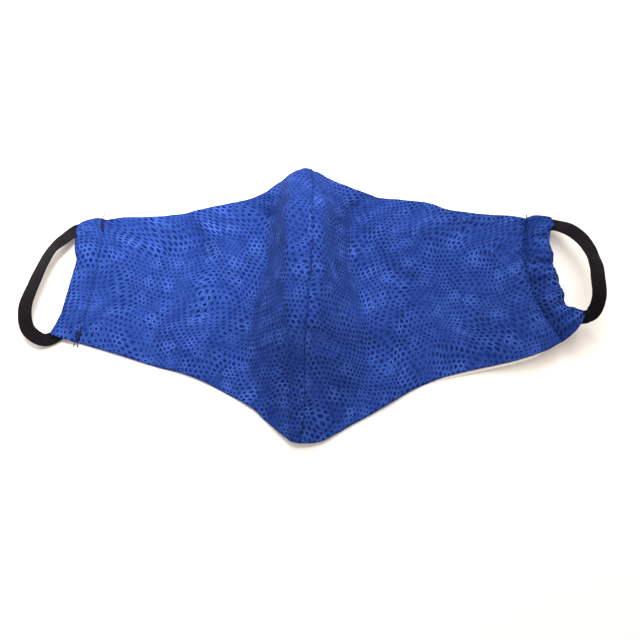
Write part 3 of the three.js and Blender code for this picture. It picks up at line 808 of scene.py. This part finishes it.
def ring_faces(rows, around):
    """Faces between rings of points, the first ring's and the last ring's
    points, and those beside them."""
    index = np.arange(rows * around).reshape(rows, around)
    beside = np.roll(index, -1, axis=1)
    walls = np.stack((index[:-1], beside[:-1], beside[1:], index[1:]), axis=-1).reshape(-1, 4)
    return walls, index[0], beside[0], index[-1], beside[-1]


def closed_curve(points, at):
    """A centripetal curve through a closed row of points. at counts points."""
    count = len(points)
    i = np.floor(at).astype(int)
    share = (at - i)[..., None]
    p0, p1, p2, p3 = (points[(i + k) % count] for k in (-1, 0, 1, 2))
    d0, d1, d2 = (
        np.sqrt(np.linalg.norm(b - a, axis=-1, keepdims=True)) for a, b in ((p0, p1), (p1, p2), (p2, p3))
    )
    start = ((p1 - p0) / d0 - (p2 - p0) / (d0 + d1) + (p2 - p1) / d1) * d1
    end = ((p2 - p1) / d1 - (p3 - p1) / (d1 + d2) + (p3 - p2) / d2) * d1
    third = 2 * p1 - 2 * p2 + start + end
    second = -3 * p1 + 3 * p2 - 2 * start - end
    return ((third * share + second) * share + start) * share + p1


def stitch_length(half):
    """The straight length of the stitch line."""
    return float(np.linalg.norm(cloth_point(half, 1, 1) - cloth_point(half, 1, 0)))


def beside_stitch(half, along, out, slide, high):
    """A place beside the stitch line: out from it, slid along it, and above the
    underside of the cloth there. Past the line's ends it runs straight on."""
    step = 1e-3
    length = stitch_length(half)
    wanted = along + slide / length
    inside = np.clip(wanted, 0, 1)
    place_there = cloth_point(half, 1, inside)
    ahead = cloth_point(half, 1, np.minimum(1, inside + step))
    upward = ahead - cloth_point(half, 1, np.maximum(0, inside - step))
    upward[..., 2] = 0
    upward = unit(upward)
    outward = half["sign"] * np.stack((upward[..., 1], -upward[..., 0], 0 * upward[..., 0]), axis=-1)
    place_there = place_there + np.asarray(out)[..., None] * outward
    place_there = place_there + np.asarray((wanted - inside) * length)[..., None] * upward
    place_there[..., 2] += high - stack
    return place_there


def casing_size(half, along):
    """How deep and how puffed the casing is there, with its large gathers."""
    gathers = half["gathers"]
    gather = gathers["share"] * (1 - np.cos(2 * math.pi * gathers["count"] * along)) / 2
    from_mouths = 1 - np.abs(2 * along - 1) ** 5
    depth = casing_snug * read(half["casing"], "along", "out", along) + gather_depth * gather
    return depth, casing_loft * gathers["loft"] + gather_puff * gather * from_mouths


casing_around = 72
casing_step = 0.45
casing_edge_step = 0.12
casing_edge = 0.6
lip_half = casing_wall / 2 - 0.03  # the radius of the casing's rounded mouths

for half in halves:
    name = "casing_" + half["name"]
    length = stitch_length(half)
    along = stations(length, casing_edge_step, casing_step, casing_edge)[:, None]
    turn = np.arange(casing_around)[None, :] * len(casing_section) / casing_around
    section = closed_curve(casing_section, turn)
    share_out, share_high, front = section[..., 0], section[..., 1], np.clip(section[..., 2], 0, 1)
    slide = casing_snug * read(half["casing"], "along", "slide", along)
    lower_short, upper_short = (
        band_inset * leaving["inset"] + elastic_width / 2 + mouth_ease for leaving in half["exits"]
    )
    shortening = lower_short + (-upper_short - lower_short) * along
    held = slide * share_out**2 + shortening * (1 - front) * smooth(share_out / 0.8)
    depth, loft = casing_size(half, np.clip(along + held / length, 0, 1))
    depth = depth + cloth_gap
    ring = np.stack((share_out * depth, share_high * loft), axis=-1)
    walk = np.linalg.norm(np.roll(ring, -1, axis=1) - ring, axis=-1)
    around = np.concatenate((np.zeros((len(along), 1)), np.cumsum(walk, axis=1)[:, :-1]), axis=1)
    tangent = unit(np.roll(ring, -1, axis=1) - np.roll(ring, 1, axis=1))
    inward = np.stack((tangent[..., 1], -tangent[..., 0]), axis=-1)
    # The gathers are small rucks that run from the stitch line to the fold.
    gathers = half["gathers"]
    placed = along * length + 0 * around
    ruck = ripples(half["seed"] + 5, gathers["pitch"], 0.12 * around, placed)
    ruck = ruck * gathers["ruck"] * smooth(share_out / 0.25) * (0.35 + 0.65 * front)
    ring = ring - ruck[..., None] * inward
    ring[..., 1] -= valley(half, along, ring[..., 0]) * (0.3 + 0.7 * front)
    ring[..., 1] = np.maximum(ring[..., 1], -0.4 * half["valley"]["depth"])
    from_mouth = np.minimum(along, 1 - along) * length
    rounded = round_edge(from_mouth, lip_half)
    outer = ring + rounded[..., None] * inward
    inner = ring + (casing_wall - rounded)[..., None] * inward
    skins = [
        beside_stitch(half, along, skin[..., 0], held, skin[..., 1]) for skin in (outer, inner)
    ]
    for skin in skins:
        keep_above(skin, table_clearance)
    walls, low, low_beside, high, high_beside = ring_faces(len(along), casing_around)
    under = len(along) * casing_around
    lips = (low, low + under, low_beside + under, low_beside)
    upper_lips = (high, high_beside, high_beside + under, high + under)
    lips = np.concatenate((np.stack(lips, axis=-1), np.stack(upper_lips, axis=-1)))
    faces = np.concatenate((walls, walls[:, ::-1] + under, lips))
    points = np.concatenate([skin.reshape(-1, 3) for skin in skins])
    edge_out = row_length(half, along) + print_shift
    laid = np.stack((half["sign"] * (edge_out + around), (along - 0.5) * length + held), axis=-1)
    laid = np.tile(laid.reshape(-1, 2), (2, 1))
    casing = add_object("folded_casing_" + half["name"], points, faces, laid)
    cloth_pieces[name] = casing
    set_up(casing, printed_cotton, name)

# Ear elastics
# Flat black braided elastic runs through each casing as one closed loop. It has
# fine ribs along it, and it lies on the table or stands a little off it.
loop_reach = 25.0
loop_lift = 17.0
elastic_steps = 560
elastic_around = 56
rib_count = 7
rib_height = 0.09
zigzag_rate = 3.55  # radians per millimetre across the band
plait_rate = 9.0  # radians per millimetre along it
# The free loop's places beside the stitch line: along it, out and up as shares
# of the two sizes above, and the band's roll in degrees.
left["loop"] = (
    (0.785, 0.73, 0.22, -10),
    (0.685, 0.9, 0.3, -24),
    (0.555, 0.99, 0.37, -22),
    (0.37, 1.065, 0.43, -14),
    (0.17, 1.1, 0.43, -2),
    (0.035, 0.98, 0.28, 6),
    (-0.015, 0.75, 0.14, 6),
)
right["loop"] = (
    (0.885, 0.76, 0.32, 14),
    (0.79, 0.946, 0.5, 14),
    (0.68, 1.06, 0.65, 2),
    (0.56, 1.11, 0.72, -10),
    (0.42, 1.1, 0.78, 2),
    (0.25, 1.02, 0.82, 8),
    (0.11, 0.85, 0.72, 8),
    (0.055, 0.71, 0.4, 4),
)


def loop_rows(half):
    """The places of the elastic's middle line, the way that its face looks
    there and its roll: up the channel, out, round the ear and in again."""
    band_high = cloth_wall + 1.5 * cloth_gap + elastic_thickness / 2
    channel_out = 1.5 * cloth_gap + casing_snug / 2

    def in_casing(along, out, slide):
        here = beside_stitch(half, along, out, slide, band_high)
        outward = beside_stitch(half, along, out + 1, slide, band_high) - here
        upward = beside_stitch(half, along, out, slide + 1, band_high) - here
        return here, unit(half["sign"] * np.cross(outward, upward)), 0

    def mouth(leaving):
        inward = -1 if leaving["end"] == 1 else 1
        whole = math.radians(leaving["turn"])
        exit_out = cloth_gap + float(casing_size(half, leaving["end"])[0]) - cloth_wall / 2
        lip = casing_snug * float(read(half["casing"], "along", "slide", leaving["end"]))
        radius = (exit_out - channel_out) / (1 - math.cos(whole))
        made = []
        for angle in (0, whole / 3, whole * 2 / 3, whole):
            run = band_inset * leaving["inset"] + radius * (math.sin(whole) - math.sin(angle))
            aside = channel_out + radius * (1 - math.cos(angle))
            made.append(in_casing(leaving["end"], aside, lip + inward * run))
        return made

    rows = [in_casing(along, channel_out, 0) for along in (0.3, 0.43, 0.57, 0.7)]
    rows += mouth(half["exits"][1])
    for along, out, lift, roll in half["loop"]:
        here = beside_stitch(half, along, loop_reach * out, 0, band_high + loop_lift * lift)
        rows.append((here, (0.0, 0.0, 1.0), roll))
    return rows + mouth(half["exits"][0])[::-1]


def band_section(count):
    """The band's section: a flat bar with round edges and ribs on both faces,
    as shares of its half width and half thickness, and how far round it is."""
    turn = 2 * math.pi * np.arange(count) / count
    across = np.sign(np.cos(turn)) * np.abs(np.cos(turn)) ** 0.55
    high = np.sign(np.sin(turn)) * np.abs(np.sin(turn)) ** 0.3
    rib = np.cos(math.pi * rib_count * across) * (1 - np.abs(across) ** 6)
    return across, high * (1 + rib_height / elastic_thickness * (rib - 1))


black_elastic, tree, shader, pattern = new_cloth("black elastic", 0.8, 0.12, (0.5, 0.48, 0.55, 1))
flat = scaled(tree, pattern, 1000.0)
# Its threads run in a zigzag across the ribs.
sides = parts_of(tree, flat)
zigzag = calc(tree, "ABSOLUTE", calc(tree, "SINE", times(tree, sides["X"], zigzag_rate)))
plait = calc(tree, "SINE", times(tree, plus(tree, sides["Y"], zigzag), plait_rate))
plait = between(tree, plait, -0.6, 0.9)
fuzz = cloud(tree, flat, 0.5, 3)
worn = times(tree, plait, between(tree, fuzz, 0.35, 0.7))
paint(tree, shader, worn, (0.004, 0.0035, 0.005, 1), (0.014, 0.0125, 0.016, 1))
add_bump(tree, shader, plus(tree, plait, fuzz), 0.00012, 0.7)

for half in halves:
    name = "ear_elastic_" + half["name"]
    rows = loop_rows(half)
    line = np.array([row[0] for row in rows])
    facing = np.array([row[1] for row in rows])
    rolls = np.array([row[2] for row in rows], dtype=float)
    at = np.arange(elastic_steps) * len(rows) / elastic_steps
    middle = closed_curve(line, at)
    ahead = unit(closed_curve(line, at + 1e-3) - closed_curve(line, at - 1e-3))
    first = np.floor(at).astype(int) % len(rows)
    second = (first + 1) % len(rows)
    share = smooth(at % 1)[:, None]
    looks = facing[first] * (1 - share) + facing[second] * share
    roll = np.radians(rolls[first] * (1 - share[:, 0]) + rolls[second] * share[:, 0]) * half["sign"]
    side = unit(np.cross(looks, ahead))
    face = np.cross(ahead, side)
    cosine, sine = np.cos(roll)[:, None], np.sin(roll)[:, None]
    side, face = cosine * side + sine * face, cosine * face - sine * side
    across, high = band_section(elastic_around)
    spread = side[:, None] * across[None, :, None] * relaxed_width / 2
    raised = face[:, None] * high[None, :, None] * elastic_thickness / 2
    points = (middle[:, None] + spread + raised).reshape(-1, 3)
    index = np.arange(len(points)).reshape(elastic_steps, elastic_around)
    beside, beyond = np.roll(index, -1, axis=1), np.roll(index, -1, axis=0)
    faces = np.stack((index, beside, np.roll(beside, -1, axis=0), beyond), axis=-1).reshape(-1, 4)
    run = np.concatenate(([0], np.cumsum(step_lengths(middle, 0))))
    laid = np.stack(np.broadcast_arrays(across * elastic_width / 2, run[:, None]), axis=-1)
    elastic = add_object("braided_elastic_" + half["name"], points, faces, laid.reshape(-1, 2))
    set_up(elastic, black_elastic, name)

# Casing stitches
# A row of machine stitches in navy thread holds each casing shut. Each stitch is
# a short bow of thread that dips into the cloth at both ends.
stitch_sizes = {"Pitch": 2.5, "Gap": 0.55, "Radius": 0.2, "Bow": 0.28}
stitch_high = stack - 0.2  # they sink a little into the cloth


def stitch_row_tree():
    """Geometry Nodes that set stitches along a path."""
    sizes = dict.fromkeys(("Pitch", "Gap", "Radius", "Bow"), "Float")
    inputs = {"Path": "Geometry"} | sizes | {"Thread": "Material"}
    outputs = {"Stitches": "Geometry"}
    tree, given, out = new_group("stitch row", inputs, outputs, "GeometryNodeTree")
    path = result(tree, "GeometryNodeMeshToCurve", {"Mesh": given["Path"]})
    inputs = {"Curve": path, "Length": given["Pitch"]}
    points = place(tree, "GeometryNodeCurveToPoints", inputs, mode="LENGTH").outputs
    half_long = times(tree, calc(tree, "SUBTRACT", given["Pitch"], given["Gap"]), 0.5)
    deep = times(tree, given["Bow"], -1.0)
    start, end = (
        result(tree, "ShaderNodeCombineXYZ", {"X": reach, "Z": deep})
        for reach in (times(tree, half_long, -1.0), half_long)
    )
    top = result(tree, "ShaderNodeCombineXYZ", {"Z": given["Bow"]})
    inputs = {"Resolution": 8, "Start": start, "Middle": top, "End": end}
    bow = result(tree, "GeometryNodeCurveQuadraticBezier", inputs)
    inputs = {"Resolution": 8, "Radius": given["Radius"]}
    ring = result(tree, "GeometryNodeCurvePrimitiveCircle", inputs)
    inputs = {"Curve": bow, "Profile Curve": ring, "Fill Caps": True}
    stitch = result(tree, "GeometryNodeCurveToMesh", inputs)
    inputs = {"Min": (-0.05, -0.05, -0.14), "Max": (0.05, 0.05, 0.14), "Seed": 4}
    lean = result(tree, "FunctionNodeRandomValue", inputs, data_type="FLOAT_VECTOR")
    inputs = {"Vector": points["Tangent"]}
    turned = result(tree, "FunctionNodeAlignRotationToVector", inputs, axis="X", pivot_axis="Z")
    leaning = result(tree, "FunctionNodeEulerToRotation", {"Euler": lean})
    inputs = {"Rotation": turned, "Rotate By": leaning}
    both = result(tree, "FunctionNodeRotateRotation", inputs, rotation_space="LOCAL")
    inputs = {"Points": points["Points"], "Instance": stitch, "Rotation": both}
    laid = result(tree, "GeometryNodeInstanceOnPoints", inputs)
    real = result(tree, "GeometryNodeRealizeInstances", {"Geometry": laid})
    rounded = result(tree, "GeometryNodeSetShadeSmooth", {"Geometry": real})
    inputs = {"Geometry": rounded, "Material": given["Thread"]}
    tree.links.new(result(tree, "GeometryNodeSetMaterial", inputs), out[0])
    return tree


def run_tree(made, tree, values):
    """Runs a Geometry Nodes tree on an object and keeps what it makes as the
    object's plain mesh."""
    modifier = made.modifiers.new("tree", "NODES")
    modifier.node_group = tree
    for item in tree.interface.items_tree:
        if item.in_out == "INPUT" and item.name in values:
            modifier[item.identifier] = values[item.name]
    evaluated = made.evaluated_get(bpy.context.evaluated_depsgraph_get())
    plain = bpy.data.meshes.new_from_object(evaluated)
    made.modifiers.clear()
    made.data = plain


navy_thread, tree, shader = new_material("navy thread", 0.6, 0.1)
where = place(tree, "ShaderNodeTexCoord", {}).outputs["Object"]
inputs = {"Vector": where, "Scale": 900.0, "Distortion": 1.5, "Detail": 1.0}
twist = place(tree, "ShaderNodeTexWave", inputs, bands_direction="DIAGONAL").outputs["Fac"]
paint(tree, shader, twist, (0.002, 0.004, 0.02, 1), (0.01, 0.02, 0.08, 1))
add_bump(tree, shader, twist, 0.00005, 0.6)

stitch_tree = stitch_row_tree()
for half in halves:
    share = np.linspace(0.015, 0.985, 60)
    high = stitch_high - valley(half, share, 0)
    path = beside_stitch(half, share, 0, 0, high)
    links = [(i, i + 1) for i in range(len(share) - 1)]
    stitches = mesh_object("casing_stitches_" + half["name"], path, links, [])
    values = {name: size * mm for name, size in stitch_sizes.items()}
    run_tree(stitches, stitch_tree, values | {"Thread": navy_thread})
    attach(stitches, "root")

# Thread ends
# Each row of stitches is sewn over itself at its ends, and its loose ends of
# navy thread are left: a fine tail at the left casing's top, a small tangle with
# two tails at its bottom, and a stub at the top of the right casing.
thread_ends = {
    "left": (
        # The end of the stitch line, then places: along and out from it, in mm.
        (1, ((-7.2, 0.1), (-3.6, 0.25), (-1.0, 0.75))),
        (1, ((-6.8, 0.5), (-3.6, 0.65), (-1.2, 1.15))),
        (1, ((-5.8, 0.9), (-3.2, 1.05), (-0.9, 0.95), (1.2, 0.6), (3.2, 0.2))),
        (0, ((8.2, 0.4), (6.0, 0.2), (4.0, 0.0), (2.5, 0.7), (0.9, 0.9), (-2.8, 1.3))),
        (0, ((5.6, -0.2), (3.8, 0.9), (2.6, -0.1), (1.4, 0.5), (0.1, 0.1), (-2.6, -0.4))),
        (0, ((4.6, 1.5), (3.1, 0.3), (2.5, 1.4), (3.7, 1.9), (4.7, 0.7))),
    ),
    "right": ((1, ((-3.4, -0.3), (-1.4, -0.2), (0.2, -0.4), (1.3, -0.5))),),
}
tail_radius = 0.27
tail_steps = 10
tail_around = 8


def tube(line, radius, around):
    """A closed round thread along a line of points."""
    ahead = unit(np.gradient(line, axis=0))
    side = unit(np.cross(ahead, (0.3, 0.2, 1.0)))
    over = np.cross(ahead, side)
    turn = 2 * math.pi * np.arange(around) / around
    ring = np.cos(turn)[:, None] * side[:, None] + np.sin(turn)[:, None] * over[:, None]
    points = (line[:, None] + radius * ring).reshape(-1, 3)
    walls, low, low_beside, high, high_beside = ring_faces(len(line), around)
    start, end = np.full(around, len(points)), np.full(around, len(points) + 1)
    caps = (low_beside, low, start), (high, high_beside, end)
    points = np.concatenate((points, line[:1], line[-1:]))
    return points, walls, np.concatenate([np.stack(cap, axis=-1) for cap in caps])


for half in halves:
    points, faces = np.zeros((0, 3)), []
    front_rows = casing_section[casing_section[:, 2] == 1]
    for end, path in thread_ends[half["name"]]:
        slid, out = np.array(path).T
        depth, loft = casing_size(half, np.clip(end + slid / stitch_length(half), 0, 1))
        high = loft * np.interp(out / depth, front_rows[:, 0], front_rows[:, 1], left=0)
        high = np.maximum(high, stack) - valley(half, end, 0) + 2.2 * tail_radius
        places = np.array([beside_stitch(half, end, *at_point) for at_point in zip(out, slid, high)])
        before, after = 2 * places[:1] - places[1:2], 2 * places[-1:] - places[-2:-1]
        knots = np.concatenate((before, places, after))
        at = np.linspace(1, len(path), tail_steps * (len(path) - 1) + 1)
        line = closed_curve(knots, at)
        made, walls, caps = tube(line, tail_radius, tail_around)
        faces += (walls + len(points)).tolist() + (caps + len(points)).tolist()
        points = np.concatenate((points, made))
    ends = mesh_object("thread_ends_" + half["name"], points, [], faces)
    ends.data.shade_smooth()
    set_up(ends, navy_thread)

# Cloth pieces
# Every cloth piece was cut flat and then sewn up, so it keeps its flat size.
# Here each half's panel, lining and casing are only looked up; nothing more is done with them.
for half in halves:
    name = half["name"]
    kinds = ("outer_panel_", "lining_", "casing_")
    panel, lining, casing = (cloth_pieces[kind + name] for kind in kinds)

# Floor and light
# A pale matt table stands in a warm pale room, which fills the shadows. A wide
# soft window light falls over it from the far side, and a wide soft lamp that
# hangs over the left half lights that half more.
corner = 1.5  # of the floor, from its middle
floor_mesh = bpy.data.meshes.new("floor")
corners = [(-corner, -corner, 0), (corner, -corner, 0), (corner, corner, 0), (-corner, corner, 0)]
floor_mesh.from_pydata(corners, [], [(0, 1, 2, 3)])
floor = bpy.data.objects.new("floor", floor_mesh)
link(floor)
table_white, tree, shader = new_material("table white", 0.9, 0.1)
where = place(tree, "ShaderNodeTexCoord", {}).outputs["Object"]
speck = result(tree, "ShaderNodeTexNoise", {"Vector": where, "Scale": 6.0})
paint(tree, shader, speck, (0.83, 0.82, 0.8, 1), (0.86, 0.85, 0.83, 1))
floor_mesh.materials.append(table_white)

room = bpy.data.worlds.new("room")
room.use_nodes = True
glow = room.node_tree.nodes["Background"].inputs
glow["Color"].default_value = (1.0, 0.9, 0.81, 1)
glow["Strength"].default_value = 0.95
scene.world = room
scene.view_settings.view_transform = "Standard"


def add_light(name, kind, location, aim, energy, **settings):
    """A soft light at a place, aimed at another."""
    data = bpy.data.lights.new(name, kind)
    data.energy = energy
    data.color = (1.0, 0.98, 0.96)
    for key, value in settings.items():
        setattr(data, key, value)
    made = bpy.data.objects.new(name, data)
    made.location = location
    made.rotation_euler = (Vector(aim) - Vector(location)).to_track_quat("-Z", "Y").to_euler()
    link(made)


middle = (0.0, 0.0, 0.0)
add_light("window", "AREA", (0.03, 0.5, 0.42), middle, 5.4, shape="DISK", size=0.5)
cone = {"spot_size": math.radians(43), "spot_blend": 1.0, "shadow_soft_size": 0.14}
add_light("lamp", "SPOT", (-0.04, 0.16, 0.44), (-0.09, 0.08, 0.0), 22.0, **cone)
